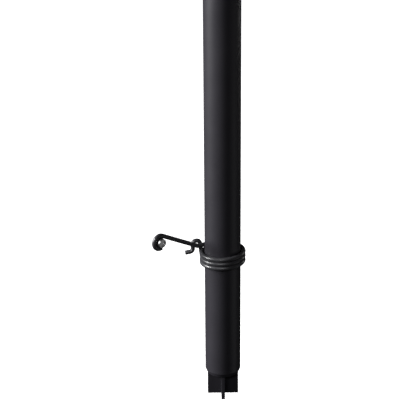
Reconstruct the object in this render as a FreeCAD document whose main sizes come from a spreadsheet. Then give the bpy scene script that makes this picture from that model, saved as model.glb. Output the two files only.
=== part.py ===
"""Music stand: a round post that ends in a cross-shaped tenon, a sprung wire clip on the post,
a sliding inner tube clamped by a knob, and a tilting sheet-metal desk with two page arms.

Frame: millimetres, +Z up, the desk faces -Y and the origin is the middle of the tenon's lower end.
"""
import FreeCAD, Part
import math
import os
from FreeCAD import Placement, Rotation, Vector

os.makedirs("parts", exist_ok=True)
doc = FreeCAD.newDocument("music_stand")
nodes = []

# ---------------------------------------------------------------- driving dimensions
SIZES = {
    # post and tenon
    "post_diameter": 25.4, "post_wall": 1.5, "post_foot": 18.3, "post_length": 590.0,
    "rim_bevel_in": 1.3, "rim_bevel_up": 2.9,
    "fin_thickness": 2.65, "tenon_fit": 0.1, "tenon_seat": 40.0, "fin_bevel": 0.4,
    # wire clip
    "wire_diameter": 3.16, "coil_gap": 0.35, "coil_space": 0.06, "clip_height": 105.0,
    "coil_start_angle": 180.0, "coil_sweep": 1030.0, "arm_root": 10.0, "arm_length": 36.6,
    "arm_rise_angle": 27.8, "arm_bend": 8.0, "eye_radius": 4.8, "eye_sweep": 225.0,
    "leg_reach": 12.0, "leg_side": 1.6, "leg_rise": 11.4, "leg_span": 4.8, "leg_slant": 1.6,
    "leg_drop": 7.8, "leg_tail": 5.4, "leg_bend": 2.35,
    # stud carried by the eye
    "stud_diameter": 6.3, "stud_front": 3.6, "stud_head": 9.0, "stud_head_depth": 1.2,
    "stud_socket": 4.2, "stud_socket_depth": 0.6,
    # collar, bush and clamp
    "collar_diameter": 36.0, "collar_skirt": 32.0, "collar_lip": 6.0, "collar_fit": 0.1,
    "boss_diameter": 18.0, "boss_reach": 30.0, "bush_depth": 24.0, "bush_fit": 0.15,
    "bush_flange": 2.0, "screw_diameter": 8.0, "screw_fit": 0.1,
    "knob_diameter": 34.0, "knob_depth": 16.0, "knob_gap": 1.0, "knob_lobes": 6.0,
    "knob_flute": 9.0, "knob_fit": 0.05, "shoe_depth": 2.0,
    # inner tube
    "inner_diameter": 19.05, "inner_wall": 1.2, "inner_foot": 240.0, "inner_length": 600.0,
    "guide_depth": 18.0, "guide_fit": 0.12, "guide_lip": 2.0,
    # tilt head
    "head_width": 16.0, "head_thickness": 10.0, "head_drop": 30.0, "plug_depth": 22.0,
    "head_neck": 4.0, "plug_fit": 0.1,
    "bolt_diameter": 8.0, "bolt_fit": 0.1, "washer_diameter": 18.0, "washer_depth": 1.2,
    "bolt_head": 14.0, "bolt_head_depth": 5.0, "cheek_thickness": 2.0, "cheek_radius": 11.0,
    "face_gap": 0.05,
    # desk
    "desk_width": 480.0, "desk_height": 330.0, "desk_sheet": 1.2, "desk_lean": 20.0,
    "desk_below": 120.0, "desk_stand_off": 24.0, "desk_corner": 14.0,
    "plate_width": 70.0, "plate_height": 60.0, "plate_thickness": 2.0,
    "ledge_depth": 55.0, "ledge_lip": 14.0, "ledge_flange": 24.0, "ledge_sheet": 1.2,
    "rivet_diameter": 4.0, "rivet_head": 8.0, "rivet_head_depth": 1.4,
    "rivet_pitch_across": 48.0, "rivet_pitch_up": 40.0,
    "hem_wall": 1.6, "hem_reach": 7.0, "hem_fit": 0.05,
    "pad_thickness": 1.5, "pad_depth": 44.0, "pad_width": 440.0,
    # page arms
    "page_arm_width": 9.0, "page_arm_thickness": 2.0, "page_arm_length": 120.0,
    "page_pin_diameter": 4.0, "page_pin_fit": 0.08, "page_pin_inset": 40.0,
    "page_pin_height": 24.0, "page_pin_head": 8.0,
}
sheet = doc.addObject("Spreadsheet::Sheet", "sizes")
for row, (alias, value) in enumerate(SIZES.items(), start=1):
    sheet.set("A%d" % row, alias)
    sheet.set("B%d" % row, str(value))
    sheet.setAlias("B%d" % row, alias)
doc.recompute()


def size(alias):
    """A driving dimension as it stands in the sheet."""
    return float(getattr(sheet, alias))


def cell(text):
    """An expression on the sheet: every alias in braces becomes a reference to its cell."""
    return text.replace("{", "sizes.").replace("}", "")


# ---------------------------------------------------------------- small building tools
def node(obj, label):
    """Names a finished piece, which also names its file."""
    obj.Label = label
    nodes.append(obj)
    return obj


def bind(obj, **expressions):
    """Ties an object's properties to the sheet; two underscores stand for a dot."""
    for name, text in expressions.items():
        obj.setExpression(name.replace("__", "."), cell(text))
    return obj


def place(obj, across="0", away="0", up="0"):
    """Puts an object at a position worked out from the sheet."""
    for axis, text in zip("xyz", (across, away, up)):
        obj.setExpression("Placement.Base." + axis, cell(text))
    return obj


def cylinder(radius, height, across="0", away="0", up="0", along="z"):
    """A Part cylinder that starts at a point and runs along +X, +Y or +Z."""
    turn = {"z": Rotation(), "x": Rotation(Vector(0, 1, 0), 90), "y": Rotation(Vector(1, 0, 0), -90)}
    obj = doc.addObject("Part::Cylinder", "round")
    obj.Placement = Placement(Vector(), turn[along])
    bind(obj, Radius=radius, Height=height)
    return place(obj, across, away, up)


def block(length, width, height, across="0", away="0", up="0"):
    """A Part box whose lower, nearer left corner is given."""
    obj = doc.addObject("Part::Box", "block")
    bind(obj, Length=length, Width=width, Height=height)
    return place(obj, across, away, up)


def fuse(*shapes):
    obj = doc.addObject("Part::MultiFuse", "joined")
    obj.Shapes = list(shapes)
    obj.Refine = True
    return obj


def cut(base, *tools):
    obj = doc.addObject("Part::Cut", "cut")
    obj.Base = base
    obj.Tool = tools[0] if len(tools) == 1 else fuse(*tools)
    obj.Refine = True
    return obj


def compound(*shapes):
    obj = doc.addObject("Part::Compound", "set")
    obj.Links = list(shapes)
    return obj


def origin_plane(body, role):
    return next(f for f in body.Origin.OriginFeatures if f.Role == role)


def ring_body(label, outer, inner, length, up):
    """A PartDesign body: two circles about the post's axis, padded upwards."""
    import Sketcher
    body = doc.addObject("PartDesign::Body", label)
    sketch = body.newObject("Sketcher::SketchObject", label + "_section")
    sketch.AttachmentSupport = [(origin_plane(body, "XY_Plane"), "")]
    sketch.MapMode = "FlatFace"
    for number, radius in enumerate(r for r in (outer, inner) if r):
        circle = sketch.addGeometry(Part.Circle(Vector(), Vector(0, 0, 1), 10.0 + number), False)
        sketch.addConstraint(Sketcher.Constraint("Coincident", circle, 3, -1, 1))
        rule = sketch.addConstraint(Sketcher.Constraint("Radius", circle, 10.0 + number))
        sketch.setExpression("Constraints[%d]" % rule, cell(radius))
    sketch.setExpression("AttachmentOffset.Base.z", cell(up))
    pad = body.newObject("PartDesign::Pad", label + "_pad")
    pad.Profile = sketch
    bind(pad, Length=length)
    sketch.Visibility = False
    return body


def revolved_body(label, outline):
    """A PartDesign body: a closed outline of (radius, height) expressions turned about Z."""
    import Sketcher
    body = doc.addObject("PartDesign::Body", label)
    sketch = body.newObject("Sketcher::SketchObject", label + "_profile")
    sketch.AttachmentSupport = [(origin_plane(body, "XZ_Plane"), "")]
    sketch.MapMode = "FlatFace"
    values = [(sheet.evalExpression(cell(r)), sheet.evalExpression(cell(z))) for r, z in outline]
    count = len(outline)
    for k in range(count):
        start, end = values[k], values[(k + 1) % count]
        sketch.addGeometry(Part.LineSegment(Vector(start[0], start[1], 0), Vector(end[0], end[1], 0)))
    for k in range(count):
        sketch.addConstraint(Sketcher.Constraint("Coincident", k, 2, (k + 1) % count, 1))
    for k, (radius, height) in enumerate(outline):
        for kind, text, value in (("DistanceX", radius, values[k][0]),
                                  ("DistanceY", height, values[k][1])):
            rule = sketch.addConstraint(Sketcher.Constraint(kind, -1, 1, k, 1, float(value)))
            sketch.setExpression("Constraints[%d]" % rule, cell(text))
    turn = body.newObject("PartDesign::Revolution", label + "_turn")
    turn.Profile = sketch
    turn.ReferenceAxis = (sketch, ["V_Axis"])
    turn.Angle = 360.0
    sketch.Visibility = False
    return body


# ---------------------------------------------------------------- post and tenon
POST_BORE = "({post_diameter} / 2 - {post_wall})"
POST_TOP = "({post_foot} + {post_length})"
SCREW_HEIGHT = "(" + POST_TOP + " - {collar_skirt} / 2)"


def build_post():
    """The tube, bevelled at its lower rim, with the clamp screw's hole near its top."""
    tube = revolved_body("post_body", [
        (POST_BORE, "{post_foot}"),
        ("{post_diameter} / 2 - {rim_bevel_in}", "{post_foot}"),
        ("{post_diameter} / 2", "{post_foot} + {rim_bevel_up}"),
        ("{post_diameter} / 2", POST_TOP),
        (POST_BORE, POST_TOP),
    ])
    hole = cylinder("{screw_diameter} / 2 + {screw_fit}", "{post_diameter}", up=SCREW_HEIGHT,
                    along="x")
    node(cut(tube, hole), "post_tube")


def build_tenon():
    """Two crossed plates, turned down to the post's bore."""
    span = "2 * " + POST_BORE
    height = "{post_foot} + {tenon_seat}"
    plates = fuse(
        block(span, "{fin_thickness}", height, "-" + POST_BORE, "-{fin_thickness} / 2"),
        block("{fin_thickness}", span, height, "-{fin_thickness} / 2", "-" + POST_BORE))
    limit = doc.addObject("Part::Cylinder", "bore_limit")
    bind(limit, Radius=POST_BORE + " - {tenon_fit}", Height=height)
    cross = doc.addObject("Part::Common", "cross")
    cross.Base = plates
    cross.Tool = limit
    node(cross, "tenon_cross")


# ---------------------------------------------------------------- wire clip and its stud
def rounded_path(points, bend):
    """Straight runs joined by arcs of one radius; the last point ends the wire."""
    edges = []
    start = points[0]
    for corner, after in zip(points[1:-1], points[2:]):
        into = (corner - start).normalize()
        out = (after - corner).normalize()
        turn = into.getAngle(out)
        setback = bend * math.tan(turn / 2)
        first, last = corner - into * setback, corner + out * setback
        middle = corner + (out - into).normalize() * (bend / math.cos(turn / 2) - bend)
        edges.append(Part.LineSegment(start, first).toShape())
        edges.append(Part.Arc(first, middle, last).toShape())
        start = last
    edges.append(Part.LineSegment(start, points[-1]).toShape())
    return edges


def swept_rod(edges, radius):
    """A round rod along edges that follow each other."""
    path = Part.Wire(Part.__sortEdges__(edges))
    start = path.OrderedEdges[0]
    point = start.valueAt(start.FirstParameter)
    if path.OrderedVertexes[0].Point.distanceToPoint(point) > 1e-6:
        point = start.valueAt(start.LastParameter)
    tangent = start.tangentAt(start.FirstParameter)
    ring = Part.Wire([Part.Circle(point, tangent, radius).toShape()])
    sweep = Part.BRepOffsetAPI.MakePipeShell(path)
    sweep.setFrenetMode(False)
    sweep.add(ring)
    sweep.build()
    sweep.makeSolid()
    rod = sweep.shape()
    expected = math.pi * radius ** 2 * path.Length
    print("rod volume / section x length = %.4f" % (rod.Volume / expected))
    return rod


def clip_frame():
    """Directions and points that the clip and its stud share."""
    coil_radius = size("post_diameter") / 2 + size("coil_gap") + size("wire_diameter") / 2
    pitch = size("wire_diameter") + size("coil_space")
    climb = pitch / (2 * math.pi * coil_radius)
    low = math.radians(size("coil_start_angle"))
    high = low + math.radians(size("coil_sweep"))
    lower_end = Vector(coil_radius * math.cos(low), coil_radius * math.sin(low), size("clip_height"))
    upper_end = Vector(coil_radius * math.cos(high), coil_radius * math.sin(high),
                       size("clip_height") + pitch * size("coil_sweep") / 360)
    lower_out = Vector(math.sin(low), -math.cos(low), -climb).normalize()
    upper_out = Vector(-math.sin(high), math.cos(high), climb).normalize()
    level = Vector(-math.sin(high), math.cos(high), 0)
    rise = math.radians(size("arm_rise_angle"))
    along = level * math.cos(rise) + Vector(0, 0, math.sin(rise))
    inward = level * math.sin(rise) - Vector(0, 0, math.cos(rise))
    elbow = upper_end + upper_out * size("arm_root")
    eye_entry = elbow + along * size("arm_length")
    return {"coil_radius": coil_radius, "pitch": pitch, "lower_end": lower_end,
            "upper_end": upper_end, "lower_out": lower_out, "elbow": elbow, "along": along,
            "inward": inward, "eye_entry": eye_entry,
            "eye_middle": eye_entry + inward * size("eye_radius"),
            "eye_axis": Vector(-level.y, level.x, 0)}


def build_clip():
    """One wire: a leg hooked behind the arm, the coil round the post, the arm and its open eye."""
    f = clip_frame()
    coil = Part.makeHelix(f["pitch"], f["pitch"] * size("coil_sweep") / 360, f["coil_radius"])
    coil.rotate(Vector(), Vector(0, 0, 1), size("coil_start_angle"))
    coil.translate(Vector(0, 0, size("clip_height")))

    foot = f["lower_end"] + f["lower_out"] * size("leg_reach")
    hook_near = foot + Vector(-size("leg_side"), 0, size("leg_rise"))
    hook_far = hook_near - Vector(size("leg_span"), size("leg_slant"), 0)
    hook_low = hook_far - Vector(0, 0, size("leg_drop"))
    tail_end = hook_low - Vector(size("leg_tail"), size("leg_tail") / 6, size("leg_tail") / 8)
    leg = rounded_path([f["lower_end"], foot, hook_near, hook_far, hook_low, tail_end],
                       size("leg_bend"))

    arm = rounded_path([f["upper_end"], f["elbow"], f["eye_entry"]], size("arm_bend"))

    def on_eye(angle):
        turned = math.radians(angle)
        return (f["eye_middle"] - f["inward"] * (size("eye_radius") * math.cos(turned))
                + f["along"] * (size("eye_radius") * math.sin(turned)))
    eye = Part.Arc(f["eye_entry"], on_eye(size("eye_sweep") / 2), on_eye(size("eye_sweep"))).toShape()

    clip = doc.addObject("Part::Feature", "wire_clip")
    clip.Shape = swept_rod(leg + coil.Edges + arm + [eye], size("wire_diameter") / 2)
    node(clip, "wire_clip")


def build_stud():
    """A headed stud through the wire's eye, with a shallow round socket in its front end."""
    f = clip_frame()
    back = "({wire_diameter} / 2 + {face_gap})"
    shank = cylinder("{stud_diameter} / 2", back + " + {stud_front}", up="-" + back)
    head = cylinder("{stud_head} / 2", "{stud_head_depth}", up="-" + back + " - {stud_head_depth}")
    socket = cylinder("{stud_socket} / 2", "{stud_socket_depth}",
                      up="{stud_front} - {stud_socket_depth}")
    stud = cut(fuse(shank, head), socket)
    stud.Placement = Placement(f["eye_middle"], Rotation(Vector(0, 0, 1), f["eye_axis"]))
    node(stud, "eye_stud")


# ---------------------------------------------------------------- collar, bush and clamp
COLLAR_FOOT = "(" + POST_TOP + " - {collar_skirt})"
COLLAR_TOP = "(" + POST_TOP + " + {collar_lip})"
BUSH_TOP = "(" + COLLAR_TOP + " + {bush_flange})"
INNER_FIT = "({inner_diameter} / 2 + {bush_fit})"


def build_collar():
    """The moulded collar over the post's mouth, with the boss that the clamp screw turns in."""
    shell = cylinder("{collar_diameter} / 2", "{collar_skirt} + {collar_lip}", up=COLLAR_FOOT)
    boss = cylinder("{boss_diameter} / 2", "{boss_reach}", up=SCREW_HEIGHT, along="x")
    seat = cylinder("{post_diameter} / 2 + {collar_fit}", "{collar_skirt}", up=COLLAR_FOOT)
    mouth = cylinder(POST_BORE, "{collar_lip} + {collar_skirt}", up=COLLAR_FOOT)
    hole = cylinder("{screw_diameter} / 2 + {screw_fit}", "{boss_reach}", up=SCREW_HEIGHT,
                    along="x")
    node(cut(fuse(shell, boss), seat, mouth, hole), "post_collar")


def build_bush():
    """The flanged nylon bush that guides the inner tube in the post's mouth."""
    sleeve = cylinder(POST_BORE + " - {bush_fit}", "{bush_depth} + {collar_lip}",
                      up=BUSH_TOP + " - {bush_flange} - {collar_lip} - {bush_depth}")
    flange = cylinder("{collar_diameter} / 2 - {bush_flange}", "{bush_flange}", up=COLLAR_TOP)
    bore = cylinder(INNER_FIT, "{bush_depth} + {collar_lip} + {bush_flange}",
                    up=COLLAR_TOP + " - {collar_lip} - {bush_depth}")
    way = cylinder("{screw_diameter} / 2 + {screw_fit}", "{post_diameter}", up=SCREW_HEIGHT,
                   along="x")
    node(cut(fuse(sleeve, flange), bore, way), "collar_bush")


def knob_shape(along_up="0"):
    """A six-lobed hand knob about Z, its shank side at the given height."""
    body = cylinder("{knob_diameter} / 2", "{knob_depth}", up=along_up)
    flutes = []
    for k in range(int(size("knob_lobes"))):
        flute = cylinder("{knob_flute} / 2", "{knob_depth}")
        turn = "%g * 360 / {knob_lobes}" % k
        reach = "({knob_diameter} / 2 + {knob_flute} / 4)"
        place(flute, reach + " * cos(%s)" % turn, reach + " * sin(%s)" % turn, along_up)
        flutes.append(flute)
    return cut(body, *flutes)


def build_clamp():
    """The screw, the pressure shoe on the inner tube and the hand knob."""
    start = "({inner_diameter} / 2 + {shoe_depth} + {face_gap} + {bush_fit})"
    end = "({boss_reach} + {knob_gap} + {knob_depth} / 2)"
    screw = cylinder("{screw_diameter} / 2", end + " - " + start, start, "0", SCREW_HEIGHT, "x")
    node(screw, "height_screw")

    shoe = cylinder("{screw_diameter} / 2", "{inner_diameter} / 2 + {shoe_depth} + {bush_fit}",
                    "0", "0", SCREW_HEIGHT, "x")
    face = cylinder("{inner_diameter} / 2 + {face_gap}", "{boss_diameter}",
                    up=SCREW_HEIGHT + " - {boss_diameter} / 2")
    node(cut(shoe, face), "height_shoe")

    socket = cylinder("{screw_diameter} / 2", "{knob_depth} / 2")
    knob = cut(knob_shape(), socket)
    knob.Placement = Placement(Vector(), Rotation(Vector(0, 1, 0), 90))
    place(knob, "{boss_reach} + {knob_gap}", "0", SCREW_HEIGHT)
    node(knob, "height_knob")


# ---------------------------------------------------------------- inner tube
INNER_TOP = "({inner_foot} + {inner_length})"
INNER_BORE = "({inner_diameter} / 2 - {inner_wall})"


def build_inner():
    tube = ring_body("inner_tube", "{inner_diameter} / 2", INNER_BORE, "{inner_length}",
                     "{inner_foot}")
    node(tube, "inner_tube")
    collar = cylinder(POST_BORE + " - {guide_fit}", "{guide_lip}",
                      up="{inner_foot} - {guide_lip}")
    stem = cylinder(INNER_BORE + " - {plug_fit}", "{guide_depth}", up="{inner_foot}")
    node(fuse(collar, stem), "inner_guide")


# ---------------------------------------------------------------- tilt head
TILT_HEIGHT = "(" + INNER_TOP + " + {head_neck} + {head_drop})"


def build_head():
    """The plug that closes the inner tube and carries the tilt bolt in a flat eye."""
    plug = cylinder(INNER_BORE + " - {plug_fit}", "{plug_depth}", up=INNER_TOP + " - {plug_depth}")
    neck = cylinder("{inner_diameter} / 2", "{head_neck}", up=INNER_TOP)
    tongue = block("{head_thickness}", "{head_width}", "{head_drop}",
                   "-{head_thickness} / 2", "-{head_width} / 2", INNER_TOP + " + {head_neck}")
    crown = cylinder("{head_width} / 2", "{head_thickness}", "-{head_thickness} / 2", "0",
                     TILT_HEIGHT, "x")
    hole = cylinder("{bolt_diameter} / 2 + {bolt_fit}", "{head_thickness}",
                    "-{head_thickness} / 2", "0", TILT_HEIGHT, "x")
    node(cut(fuse(plug, neck, tongue, crown), hole), "tilt_head")


WASHER_SIDE = "({head_thickness} / 2 + {face_gap})"
CHEEK_SIDE = "(" + WASHER_SIDE + " + {washer_depth} + {face_gap})"
CHEEK_OUT = "(" + CHEEK_SIDE + " + {cheek_thickness})"


def tilted(obj, label):
    """Places a desk piece: it is drawn about the tilt axis, upright, facing -Y."""
    obj.Placement = Placement(Vector(), Rotation(Vector(1, 0, 0), -size("desk_lean")))
    place(obj, up=TILT_HEIGHT)
    node(obj, label)


def build_tilt():
    """The bolt, its friction washers and its hand knob, all on the tilt axis."""
    shank = cylinder("{bolt_diameter} / 2", "2 * " + CHEEK_OUT + " + {knob_gap} + {knob_depth} / 2",
                     "-" + CHEEK_OUT, along="x")
    head = cylinder("{bolt_head} / 2", "{bolt_head_depth}",
                    "-" + CHEEK_OUT + " - {face_gap} - {bolt_head_depth}", along="x")
    stem = cylinder("{bolt_diameter} / 2", "{face_gap}", "-" + CHEEK_OUT + " - {face_gap}",
                    along="x")
    tilted(fuse(shank, head, stem), "tilt_bolt")

    washers = []
    for side in ("-" + WASHER_SIDE + " - {washer_depth}", WASHER_SIDE):
        disc = cylinder("{washer_diameter} / 2", "{washer_depth}", side, along="x")
        hole = cylinder("{bolt_diameter} / 2 + {bolt_fit}", "{washer_depth}", side, along="x")
        washers.append(cut(disc, hole))
    tilted(compound(*washers), "tilt_washers")

    socket = cylinder("{bolt_diameter} / 2 + {knob_fit}", "{knob_depth} / 2 + {face_gap}")
    knob = cut(knob_shape(), socket)
    knob.Placement = Placement(Vector(), Rotation(Vector(0, 1, 0), 90))
    place(knob, CHEEK_OUT + " + {knob_gap}", "0", TILT_HEIGHT)
    node(knob, "tilt_knob")


# ---------------------------------------------------------------- desk
DESK_BACK = "(-{desk_stand_off})"
DESK_FRONT = "(-{desk_stand_off} - {desk_sheet})"
PLATE_BACK = "(" + DESK_BACK + " + {plate_thickness})"
DESK_FOOT = "(-{desk_below})"


def build_bracket():
    """A plate with two cheeks that straddle the tilt head."""
    plate = block("{plate_width}", "{plate_thickness}", "{plate_height}",
                  "-{plate_width} / 2", DESK_BACK, "-{plate_height} / 2")
    parts = [plate]
    holes = []
    for side in (CHEEK_SIDE, "-" + CHEEK_OUT):
        parts.append(block("{cheek_thickness}", "{desk_stand_off} - {plate_thickness}",
                           "2 * {cheek_radius}", side, PLATE_BACK, "-{cheek_radius}"))
        parts.append(cylinder("{cheek_radius}", "{cheek_thickness}", side, along="x"))
        holes.append(cylinder("{bolt_diameter} / 2 + {bolt_fit}", "{cheek_thickness}", side,
                              along="x"))
    for across, up in rivet_places():
        holes.append(cylinder("{rivet_diameter} / 2", "{plate_thickness}", across, DESK_BACK, up,
                              "y"))
    tilted(cut(fuse(*parts), *holes), "desk_bracket")


def rivet_places():
    """The four rivets that hold the bracket."""
    for across in ("-", ""):
        for up in ("-", ""):
            yield across + "{rivet_pitch_across} / 2", up + "{rivet_pitch_up} / 2"


def ledge_rivet_places():
    """The five rivets that hold the ledge along the desk's lower edge."""
    for k in range(-2, 3):
        yield ("%d * ({desk_width} / 2 - {page_pin_inset} * 2) / 2" % k,
               DESK_FOOT + " + {ledge_flange} / 2")


def arm_pin_places():
    """The two pins that the page arms turn on, one near each lower corner."""
    for side in (-1, 1):
        yield "%d * ({desk_width} / 2 - {page_pin_inset})" % side


PIN_UP = "(" + DESK_FOOT + " + {page_pin_height} + {ledge_flange})"


def build_panel():
    """The desk's sheet with rounded upper corners, its rivet holes and its two pin holes."""
    sheet_block = block("{desk_width}", "{desk_sheet}", "{desk_height}", "-{desk_width} / 2",
                        DESK_FRONT, DESK_FOOT)
    doc.recompute()
    corners = doc.addObject("Part::Fillet", "desk_corners")
    corners.Base = sheet_block
    top = sheet_block.Shape.BoundBox.ZMax
    edges = [k + 1 for k, e in enumerate(sheet_block.Shape.Edges)
             if e.BoundBox.ZMin > top - 1e-6 and e.BoundBox.XLength < 1e-6]
    corners.Edges = [(k, size("desk_corner"), size("desk_corner")) for k in edges]
    holes = []
    for across, up in list(rivet_places()) + list(ledge_rivet_places()):
        holes.append(cylinder("{rivet_diameter} / 2", "{desk_sheet}", across, DESK_FRONT, up, "y"))
    for across in arm_pin_places():
        holes.append(cylinder("{page_pin_diameter} / 2", "{desk_sheet}", across, DESK_FRONT,
                              PIN_UP, "y"))
    tilted(cut(corners, *holes), "desk_panel")


def build_ledge():
    """The ledge: a flange riveted to the desk's face, a shelf and an upturned lip."""
    width = "{desk_width}"
    left = "-{desk_width} / 2"
    flange_front = "(" + DESK_FRONT + " - {ledge_sheet})"
    shelf_front = "(" + DESK_FRONT + " - {ledge_depth})"
    flange = block(width, "{ledge_sheet}", "{ledge_flange}", left, flange_front, DESK_FOOT)
    shelf = block(width, "{ledge_depth}", "{ledge_sheet}", left, shelf_front, DESK_FOOT)
    lip = block(width, "{ledge_sheet}", "{ledge_lip}", left, shelf_front, DESK_FOOT)
    holes = [cylinder("{rivet_diameter} / 2", "{ledge_sheet}", across, flange_front, up, "y")
             for across, up in ledge_rivet_places()]
    tilted(cut(fuse(flange, shelf, lip), *holes), "desk_ledge")

    pad = block("{pad_width}", "{pad_depth}", "{pad_thickness}", "-{pad_width} / 2",
                DESK_FRONT + " - {ledge_sheet} - {pad_depth} - {rivet_head_depth}",
                DESK_FOOT + " + {ledge_sheet}")
    tilted(compound(pad), "ledge_pad")


def rivet(across, up, front, back):
    """A rivet through everything between two depths, headed at both ends."""
    shank = cylinder("{rivet_diameter} / 2", back + " - " + front, across, front, up, "y")
    near = cylinder("{rivet_head} / 2", "{rivet_head_depth}", across,
                    front + " - {rivet_head_depth}", up, "y")
    far = cylinder("{rivet_head} / 2", "{rivet_head_depth}", across, back, up, "y")
    return fuse(shank, near, far)


def build_rivets():
    tilted(compound(*[rivet(across, up, DESK_FRONT, PLATE_BACK)
                      for across, up in rivet_places()]), "bracket_rivets")
    tilted(compound(*[rivet(across, up, "(" + DESK_FRONT + " - {ledge_sheet})", DESK_BACK)
                      for across, up in ledge_rivet_places()]), "ledge_rivets")


def build_hem():
    """The rolled plastic hem that slips over the desk's upper edge, between its corners."""
    length = "{desk_width} - 2 * {desk_corner}"
    left = "-{desk_width} / 2 + {desk_corner}"
    top = "(" + DESK_FOOT + " + {desk_height})"
    outer = block(length, "{desk_sheet} + 2 * {hem_wall}", "{hem_reach} + {hem_wall}", left,
                  DESK_FRONT + " - {hem_wall}", top + " - {hem_reach}")
    slot = block(length, "{desk_sheet} + 2 * {hem_fit}", "{hem_reach} + {hem_fit}", left,
                 DESK_FRONT + " - {hem_fit}", top + " - {hem_reach}")
    tilted(cut(outer, slot), "desk_hem")


def build_page_arms():
    """Two flat arms that swing in front of the sheet on pins through the desk."""
    arm_back = "(" + DESK_FRONT + " - {face_gap})"
    arm_front = "(" + arm_back + " - {page_arm_thickness})"
    for label, across in zip(("left", "right"), arm_pin_places()):
        strip = block("{page_arm_width}", "{page_arm_thickness}", "{page_arm_length}",
                      across + " - {page_arm_width} / 2", arm_front, PIN_UP)
        root = cylinder("{page_arm_width} / 2", "{page_arm_thickness}", across, arm_front, PIN_UP,
                        "y")
        tip = cylinder("{page_arm_width} / 2", "{page_arm_thickness}", across, arm_front,
                       PIN_UP + " + {page_arm_length}", "y")
        hole = cylinder("{page_pin_diameter} / 2 + {page_pin_fit}", "{page_arm_thickness}", across,
                        arm_front, PIN_UP, "y")
        tilted(cut(fuse(strip, root, tip), hole), label + "_page_arm")
    pins = []
    front = "(" + arm_front + " - {face_gap})"
    for across in arm_pin_places():
        shank = cylinder("{page_pin_diameter} / 2", DESK_BACK + " - " + front, across, front,
                         PIN_UP, "y")
        near = cylinder("{page_pin_head} / 2", "{rivet_head_depth}", across,
                        front + " - {rivet_head_depth}", PIN_UP, "y")
        far = cylinder("{page_pin_head} / 2", "{rivet_head_depth}", across, DESK_BACK, PIN_UP, "y")
        pins.append(fuse(shank, near, far))
    tilted(compound(*pins), "page_arm_pins")


# ---------------------------------------------------------------- build, check and write
for step in (build_post, build_tenon, build_clip, build_stud, build_collar, build_bush,
             build_clamp, build_inner, build_head, build_tilt, build_bracket, build_panel,
             build_ledge, build_rivets, build_hem, build_page_arms):
    step()
doc.recompute()

for obj in doc.Objects:
    if "Invalid" in obj.State or "Error" in obj.State:
        raise RuntimeError("failed: %s (%s) %s" % (obj.Name, obj.Label, obj.State))
for obj in nodes:
    if obj.Shape.isNull() or not obj.Shape.isValid():
        raise RuntimeError("bad shape: " + obj.Label)
    obj.Shape.exportStep("parts/%s.step" % obj.Label)
    print("%-16s %8.1f mm3, %d solid(s)" % (obj.Label, obj.Shape.Volume, len(obj.Shape.Solids)))
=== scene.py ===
import math
import bmesh
import bpy
from mathutils import Matrix, Vector


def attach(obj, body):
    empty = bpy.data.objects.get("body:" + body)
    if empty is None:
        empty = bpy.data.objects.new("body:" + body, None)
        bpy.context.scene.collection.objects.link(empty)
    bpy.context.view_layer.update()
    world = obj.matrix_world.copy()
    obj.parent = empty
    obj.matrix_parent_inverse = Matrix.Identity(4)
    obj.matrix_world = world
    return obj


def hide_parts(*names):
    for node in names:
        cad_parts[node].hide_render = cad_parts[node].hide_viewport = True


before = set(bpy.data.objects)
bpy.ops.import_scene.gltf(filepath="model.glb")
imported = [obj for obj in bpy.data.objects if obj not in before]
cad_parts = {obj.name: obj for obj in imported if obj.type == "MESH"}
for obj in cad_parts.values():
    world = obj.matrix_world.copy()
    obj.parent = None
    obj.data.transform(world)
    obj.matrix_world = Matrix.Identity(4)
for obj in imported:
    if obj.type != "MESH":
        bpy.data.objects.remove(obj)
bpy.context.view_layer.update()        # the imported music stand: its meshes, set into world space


# ---------------------------------------------------------------- the studio
# A pale floor far below the stand's held end and a room that looks white but gives only a dim fill,
# with soft lamps: a large one on the left that models the post, a wide, thin one in front that glints
# on the wire, a weak one low on the right that the stud mirrors, and a faint rim light.
floor_height = -0.55
scene = bpy.context.scene
scene.view_settings.view_transform = "Standard"
scene.view_settings.look = "None"

world = bpy.data.worlds.new("pale_room")
world.use_nodes = True
scene.world = world
room = world.node_tree
room.nodes.clear()
room_out = room.nodes.new("ShaderNodeOutputWorld")
room_mix = room.nodes.new("ShaderNodeMixShader")
room_path = room.nodes.new("ShaderNodeLightPath")
room_fill = room.nodes.new("ShaderNodeBackground")
room_seen = room.nodes.new("ShaderNodeBackground")
room_fill.inputs["Color"].default_value = (0.95, 0.93, 1.0, 1.0)
room_fill.inputs["Strength"].default_value = 0.014
room_seen.inputs["Color"].default_value = (1.0, 1.0, 1.0, 1.0)
room_seen.inputs["Strength"].default_value = 1.0
room.links.new(room_path.outputs["Is Camera Ray"], room_mix.inputs["Fac"])
room.links.new(room_fill.outputs["Background"], room_mix.inputs[1])
room.links.new(room_seen.outputs["Background"], room_mix.inputs[2])
room.links.new(room_mix.outputs["Shader"], room_out.inputs["Surface"])

floor_mesh = bpy.data.meshes.new("studio_floor")
floor_bm = bmesh.new()
bmesh.ops.create_grid(floor_bm, x_segments=1, y_segments=1, size=6.0,
                      matrix=Matrix.Translation((0.0, 0.0, floor_height)))
floor_bm.to_mesh(floor_mesh)
floor_bm.free()
floor = bpy.data.objects.new("studio_floor", floor_mesh)
scene.collection.objects.link(floor)
floor_paint = bpy.data.materials.new("pale_floor")
floor_paint.use_nodes = True
floor_shader = floor_paint.node_tree.nodes["Principled BSDF"]
floor_shader.inputs["Base Color"].default_value = (0.9, 0.9, 0.9, 1.0)
floor_shader.inputs["Roughness"].default_value = 0.9
floor_shader.inputs["Emission Color"].default_value = (1.0, 1.0, 1.0, 1.0)
floor_shader.inputs["Emission Strength"].default_value = 1.0
floor_mesh.materials.append(floor_paint)
floor.visible_diffuse = False
floor.visible_glossy = False


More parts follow.
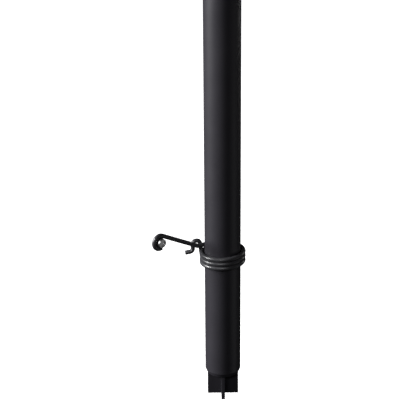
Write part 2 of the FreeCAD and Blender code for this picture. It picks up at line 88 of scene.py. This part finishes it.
def soft_light(name, place, aim, width, height, power):
    """A rectangular lamp at a place, turned towards a point and hidden from the camera."""
    lamp = bpy.data.lights.new(name, "AREA")
    lamp.shape = "RECTANGLE"
    lamp.size, lamp.size_y, lamp.energy = width, height, power
    holder = bpy.data.objects.new(name, lamp)
    towards = (Vector(aim) - Vector(place)).to_track_quat("-Z", "Y")
    holder.matrix_world = Matrix.Translation(place) @ towards.to_matrix().to_4x4()
    holder.visible_camera = False
    scene.collection.objects.link(holder)
    return holder


soft_light("left_softbox", (-2.1, -0.24, 1.05), (0.0, 0.0, 0.20), 0.8, 1.2, 160.0)
soft_light("front_glint", (-0.40, -1.9, 1.30), (0.0, 0.0, 0.12), 0.90, 0.12, 12.0)
soft_light("low_right_fill", (1.05, -0.27, -0.35), (-0.044, -0.018, 0.127), 0.7, 0.7, 0.4)
soft_light("right_rim", (1.5, 1.0, 0.5), (0.0, 0.0, 0.2), 0.3, 1.2, 3.0)

camera_data = bpy.data.cameras.new("front_camera")
camera_data.sensor_width = 36.0
camera_data.lens = 126.0
camera = bpy.data.objects.new("front_camera", camera_data)
camera_pitch, camera_roll = math.radians(21.7), math.radians(-0.5)
camera.matrix_world = (Matrix.Translation((-0.0156, -0.901, 0.510))
                       @ Matrix.Rotation(math.pi / 2 - camera_pitch, 4, "X")
                       @ Matrix.Rotation(camera_roll, 4, "Z"))
scene.collection.objects.link(camera)
scene.camera = camera


# ---------------------------------------------------------------- post and tenon
# The post is a round steel tube and the tenon is two crossed steel plates pressed into it. Both
# wear a satin black powder coat with a fine orange-peel surface and faint changes of sheen.
def powder_coat(name, colour, roughness, grain, depth):
    """Powder coat: an even dark colour with a fine peel in its surface and faint sheen changes."""
    paint = bpy.data.materials.new(name)
    paint.use_nodes = True
    tree = paint.node_tree
    shader = tree.nodes["Principled BSDF"]
    where = tree.nodes.new("ShaderNodeTexCoord")
    peel = tree.nodes.new("ShaderNodeTexNoise")
    peel.inputs["Scale"].default_value = grain
    peel.inputs["Detail"].default_value = 3.0
    cloud = tree.nodes.new("ShaderNodeTexNoise")
    cloud.inputs["Scale"].default_value = grain / 30
    cloud.inputs["Detail"].default_value = 4.0
    tint = tree.nodes.new("ShaderNodeMix")
    tint.data_type = "RGBA"
    tint.inputs["A"].default_value = (*colour, 1.0)
    tint.inputs["B"].default_value = (*(c * 1.3 for c in colour), 1.0)
    sheen = tree.nodes.new("ShaderNodeMapRange")
    sheen.inputs["To Min"].default_value = roughness - 0.04
    sheen.inputs["To Max"].default_value = roughness + 0.05
    bump = tree.nodes.new("ShaderNodeBump")
    bump.inputs["Strength"].default_value = 0.25
    bump.inputs["Distance"].default_value = depth
    for noise in (peel, cloud):
        tree.links.new(where.outputs["Object"], noise.inputs["Vector"])
    tree.links.new(cloud.outputs["Fac"], tint.inputs["Factor"])
    tree.links.new(tint.outputs["Result"], shader.inputs["Base Color"])
    tree.links.new(cloud.outputs["Fac"], sheen.inputs["Value"])
    tree.links.new(sheen.outputs["Result"], shader.inputs["Roughness"])
    tree.links.new(peel.outputs["Fac"], bump.inputs["Height"])
    tree.links.new(bump.outputs["Normal"], shader.inputs["Normal"])
    return paint


def finish_node(node, material):
    """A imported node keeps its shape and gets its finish."""
    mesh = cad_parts[node].data
    mesh.materials.clear()
    mesh.materials.append(material)


post_paint = powder_coat("post_powder_coat", (0.0165, 0.0155, 0.0195), 0.42, 1400.0, 0.00004)
for node in ("post_tube", "tenon_cross"):
    finish_node(node, post_paint)


# ---------------------------------------------------------------- wire clip
# One length of hard-drawn spring wire, bent cold: a leg hooked behind the arm, three turns round the
# post, then the arm and its open eye. It wears a thin, glossier black coat than the post.
wire_radius = 0.00158
wire_sides, bend_steps, coil_steps, eye_steps, cut_edge = 28, 14, 210, 48, 0.00022
post_radius = 0.0127
coil_radius = post_radius + 0.00035 + wire_radius
coil_pitch = 2 * wire_radius + 0.00006
coil_foot = 0.105
coil_start, coil_sweep = math.radians(180.0), math.radians(1030.0)
arm_root, arm_length, arm_bend = 0.010, 0.0366, 0.008
arm_rise, eye_radius, eye_sweep = math.radians(27.8), 0.0048, math.radians(225.0)
leg_reach, leg_side, leg_rise, leg_span = 0.012, 0.0016, 0.0114, 0.0048
leg_slant, leg_drop, leg_tail, leg_bend = 0.0016, 0.0078, 0.0054, 0.00235

coil_end = coil_start + coil_sweep
climb = coil_pitch / (2 * math.pi * coil_radius)
lower_end = Vector((coil_radius * math.cos(coil_start), coil_radius * math.sin(coil_start),
                    coil_foot))
upper_end = Vector((coil_radius * math.cos(coil_end), coil_radius * math.sin(coil_end),
                    coil_foot + coil_pitch * coil_sweep / (2 * math.pi)))
lower_out = Vector((math.sin(coil_start), -math.cos(coil_start), -climb)).normalized()
upper_out = Vector((-math.sin(coil_end), math.cos(coil_end), climb)).normalized()
level = Vector((-math.sin(coil_end), math.cos(coil_end), 0.0))
arm_along = level * math.cos(arm_rise) + Vector((0.0, 0.0, math.sin(arm_rise)))
eye_inward = level * math.sin(arm_rise) - Vector((0.0, 0.0, math.cos(arm_rise)))
eye_axis = Vector((-level.y, level.x, 0.0))
elbow = upper_end + upper_out * arm_root
eye_entry = elbow + arm_along * arm_length
eye_middle = eye_entry + eye_inward * eye_radius

leg_foot = lower_end + lower_out * leg_reach
hook_near = leg_foot + Vector((-leg_side, 0.0, leg_rise))
hook_far = hook_near - Vector((leg_span, leg_slant, 0.0))
hook_low = hook_far - Vector((0.0, 0.0, leg_drop))
tail_end = hook_low - Vector((leg_tail, leg_tail / 6, leg_tail / 8))


def feed(bm, ring, step):
    """Feeds the wire straight on: its open end moves by a step."""
    grown = bmesh.ops.extrude_edge_only(bm, edges=ring)["geom"]
    bmesh.ops.translate(bm, vec=step, verts=[v for v in grown if isinstance(v, bmesh.types.BMVert)])
    return [e for e in grown if isinstance(e, bmesh.types.BMEdge)
            and all(v in grown for v in e.verts)]


def turn(bm, ring, middle, axis, angle, steps, climb_step=0.0):
    """Bends the wire round a former: its open end turns about an axis, and may climb along it."""
    swept = bmesh.ops.spin(bm, geom=ring, cent=middle, axis=axis, angle=angle, steps=steps,
                           dvec=Vector(axis) * climb_step, use_duplicate=False)["geom_last"]
    return [e for e in swept if isinstance(e, bmesh.types.BMEdge)]


def bend_at(bm, ring, start, corner, after, radius):
    """Feeds to a corner and bends towards the next point. Returns the open end and its place."""
    into, out = (corner - start).normalized(), (after - corner).normalized()
    angle = into.angle(out)
    setback = radius * math.tan(angle / 2)
    ring = feed(bm, ring, corner - into * setback - start)
    inner = (out - into).normalized() * (radius / math.cos(angle / 2))
    ring = turn(bm, ring, corner + inner, into.cross(out).normalized(), angle, bend_steps)
    return ring, corner + out * setback


def close_end(bm, ring):
    """Caps a cut end of the wire and breaks its edge."""
    rim = set(ring)
    bmesh.ops.holes_fill(bm, edges=ring, sides=0)
    bmesh.ops.bevel(bm, geom=list(rim), offset=cut_edge, offset_type="OFFSET", segments=2,
                    profile=0.5, affect="EDGES", material=-1)


clip_bm = bmesh.new()
first = bmesh.ops.create_circle(
    clip_bm, cap_ends=False, segments=wire_sides, radius=wire_radius,
    matrix=Matrix.Translation(tail_end)
    @ (hook_low - tail_end).to_track_quat("Z", "Y").to_matrix().to_4x4())
first_ring = list({e for v in first["verts"] for e in v.link_edges})
ring, here = list(first_ring), tail_end
for corner, after in ((hook_low, hook_far), (hook_far, hook_near), (hook_near, leg_foot),
                      (leg_foot, lower_end)):
    ring, here = bend_at(clip_bm, ring, here, corner, after, leg_bend)
ring = feed(clip_bm, ring, lower_end - here)
ring = turn(clip_bm, ring, (0.0, 0.0, 0.0), (0.0, 0.0, 1.0), coil_sweep, coil_steps,
            coil_pitch * coil_sweep / (2 * math.pi) / coil_steps)
ring, here = bend_at(clip_bm, ring, upper_end, elbow, eye_entry, arm_bend)
ring = feed(clip_bm, ring, eye_entry - here)
ring = turn(clip_bm, ring, eye_middle, arm_along.cross(eye_inward), eye_sweep, eye_steps)
close_end(clip_bm, ring)
close_end(clip_bm, first_ring)
bmesh.ops.recalc_face_normals(clip_bm, faces=clip_bm.faces)
for face in clip_bm.faces:
    face.smooth = True
clip_mesh = bpy.data.meshes.new("sprung_wire")
clip_bm.to_mesh(clip_mesh)
clip_bm.free()
clip = bpy.data.objects.new("sprung_wire", clip_mesh)
scene.collection.objects.link(clip)
wire_coat = powder_coat("wire_coat", (0.030, 0.030, 0.033), 0.31, 2200.0, 0.000006)
clip_mesh.materials.append(wire_coat)
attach(clip, "clip")
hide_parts("wire_clip")


# ---------------------------------------------------------------- eye stud
# A short turned stud of bright steel through the eye, headed behind the wire. Its front edge is
# bevelled, and a shallow socket is turned into that end.
stud_radius, stud_front, stud_back = 0.00315, 0.0036, wire_radius + 0.00005
head_radius, head_depth, socket_radius, socket_depth = 0.0045, 0.0012, 0.0021, 0.0006
edge_break, stud_sides = 0.0003, 48


def bright_steel(name, colour, roughness, scratch):
    """Turned steel: fine turning marks and small dull patches."""
    steel = bpy.data.materials.new(name)
    steel.use_nodes = True
    tree = steel.node_tree
    shader = tree.nodes["Principled BSDF"]
    shader.inputs["Metallic"].default_value = 1.0
    where = tree.nodes.new("ShaderNodeTexCoord")
    marks = tree.nodes.new("ShaderNodeTexNoise")
    marks.inputs["Scale"].default_value = scratch
    marks.inputs["Detail"].default_value = 5.0
    shade = tree.nodes.new("ShaderNodeMix")
    shade.data_type = "RGBA"
    shade.inputs["A"].default_value = (*(c * 0.55 for c in colour), 1.0)
    shade.inputs["B"].default_value = (*colour, 1.0)
    dull = tree.nodes.new("ShaderNodeMapRange")
    dull.inputs["To Min"].default_value = roughness - 0.08
    dull.inputs["To Max"].default_value = roughness + 0.15
    bump = tree.nodes.new("ShaderNodeBump")
    bump.inputs["Strength"].default_value = 0.3
    bump.inputs["Distance"].default_value = 0.00005
    tree.links.new(where.outputs["Object"], marks.inputs["Vector"])
    tree.links.new(marks.outputs["Fac"], shade.inputs["Factor"])
    tree.links.new(shade.outputs["Result"], shader.inputs["Base Color"])
    tree.links.new(marks.outputs["Fac"], dull.inputs["Value"])
    tree.links.new(dull.outputs["Result"], shader.inputs["Roughness"])
    tree.links.new(marks.outputs["Fac"], bump.inputs["Height"])
    tree.links.new(bump.outputs["Normal"], shader.inputs["Normal"])
    return steel


stud_bm = bmesh.new()
profile = [(0.0, -stud_back - head_depth), (head_radius - edge_break, -stud_back - head_depth),
           (head_radius, -stud_back - head_depth + edge_break), (head_radius, -stud_back),
           (stud_radius, -stud_back), (stud_radius, stud_front - edge_break),
           (stud_radius - edge_break, stud_front), (socket_radius, stud_front),
           (socket_radius, stud_front - socket_depth), (0.0, stud_front - socket_depth)]
rod = [stud_bm.verts.new((r, 0.0, z)) for r, z in profile]
edges = [stud_bm.edges.new(pair) for pair in zip(rod, rod[1:])]
bmesh.ops.spin(stud_bm, geom=rod + edges, cent=(0.0, 0.0, 0.0), axis=(0.0, 0.0, 1.0),
               angle=2 * math.pi, steps=stud_sides, use_merge=True)
bmesh.ops.remove_doubles(stud_bm, verts=stud_bm.verts, dist=1e-7)
bmesh.ops.recalc_face_normals(stud_bm, faces=stud_bm.faces)
stud_turn = eye_axis.to_track_quat("Z", "Y").to_matrix().to_4x4()
bmesh.ops.transform(stud_bm, matrix=Matrix.Translation(eye_middle) @ stud_turn,
                    verts=stud_bm.verts)
for face in stud_bm.faces:
    face.smooth = True
stud_mesh = bpy.data.meshes.new("bright_stud")
stud_bm.to_mesh(stud_mesh)
stud_bm.free()
stud_mesh.set_sharp_from_angle(angle=math.radians(35.0))
stud = bpy.data.objects.new("bright_stud", stud_mesh)
scene.collection.objects.link(stud)
stud_mesh.materials.append(bright_steel("stud_steel", (0.80, 0.80, 0.80), 0.32, 1500.0))
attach(stud, "stud")
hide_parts("eye_stud")


# ---------------------------------------------------------------- collar, clamp and tilt head
# Moulded parts: glass-filled nylon with a spark-eroded grain for the collar, knobs and head,
# plain nylon for the bush, guide, shoe and washers. The screw and bolt are zinc-plated steel.
def moulded(name, colour, roughness, grain):
    """Moulded plastic with a fine eroded grain."""
    plastic = bpy.data.materials.new(name)
    plastic.use_nodes = True
    tree = plastic.node_tree
    shader = tree.nodes["Principled BSDF"]
    where = tree.nodes.new("ShaderNodeTexCoord")
    pits = tree.nodes.new("ShaderNodeTexVoronoi")
    pits.inputs["Scale"].default_value = grain
    cloud = tree.nodes.new("ShaderNodeTexNoise")
    cloud.inputs["Scale"].default_value = grain / 20
    tint = tree.nodes.new("ShaderNodeMix")
    tint.data_type = "RGBA"
    tint.inputs["A"].default_value = (*colour, 1.0)
    tint.inputs["B"].default_value = (*(c * 1.35 for c in colour), 1.0)
    dull = tree.nodes.new("ShaderNodeMapRange")
    dull.inputs["To Min"].default_value = roughness - 0.06
    dull.inputs["To Max"].default_value = roughness + 0.06
    bump = tree.nodes.new("ShaderNodeBump")
    bump.inputs["Strength"].default_value = 0.35
    bump.inputs["Distance"].default_value = 0.00006
    for texture in (pits, cloud):
        tree.links.new(where.outputs["Object"], texture.inputs["Vector"])
    tree.links.new(cloud.outputs["Fac"], tint.inputs["Factor"])
    tree.links.new(tint.outputs["Result"], shader.inputs["Base Color"])
    tree.links.new(cloud.outputs["Fac"], dull.inputs["Value"])
    tree.links.new(dull.outputs["Result"], shader.inputs["Roughness"])
    tree.links.new(pits.outputs["Distance"], bump.inputs["Height"])
    tree.links.new(bump.outputs["Normal"], shader.inputs["Normal"])
    return plastic


eroded_nylon = moulded("eroded_nylon", (0.026, 0.026, 0.027), 0.55, 1600.0)
plain_nylon = moulded("plain_nylon", (0.075, 0.075, 0.08), 0.42, 2400.0)
zinc_plate = bright_steel("zinc_plate", (0.58, 0.60, 0.62), 0.30, 900.0)
for node in ("post_collar", "height_knob", "tilt_head", "tilt_knob"):
    finish_node(node, eroded_nylon)
for node in ("collar_bush", "height_shoe", "inner_guide", "tilt_washers"):
    finish_node(node, plain_nylon)
for node in ("height_screw", "tilt_bolt"):
    finish_node(node, zinc_plate)


# ---------------------------------------------------------------- inner tube and desk
# The inner tube is coated like the post. The desk, ledge, bracket and page arms are pressed from
# sheet steel with a coarser powder coat. The rivets and pins are zinc plated, the hem is vinyl and
# the pad is rubber.
sheet_paint = powder_coat("sheet_powder_coat", (0.023, 0.023, 0.025), 0.50, 900.0, 0.00006)
finish_node("inner_tube", post_paint)
for node in ("desk_bracket", "desk_panel", "desk_ledge", "left_page_arm", "right_page_arm"):
    finish_node(node, sheet_paint)
for node in ("bracket_rivets", "ledge_rivets", "page_arm_pins"):
    finish_node(node, zinc_plate)
finish_node("desk_hem", moulded("hem_vinyl", (0.018, 0.018, 0.018), 0.38, 1200.0))
finish_node("ledge_pad", moulded("pad_rubber", (0.020, 0.020, 0.020), 0.75, 700.0))
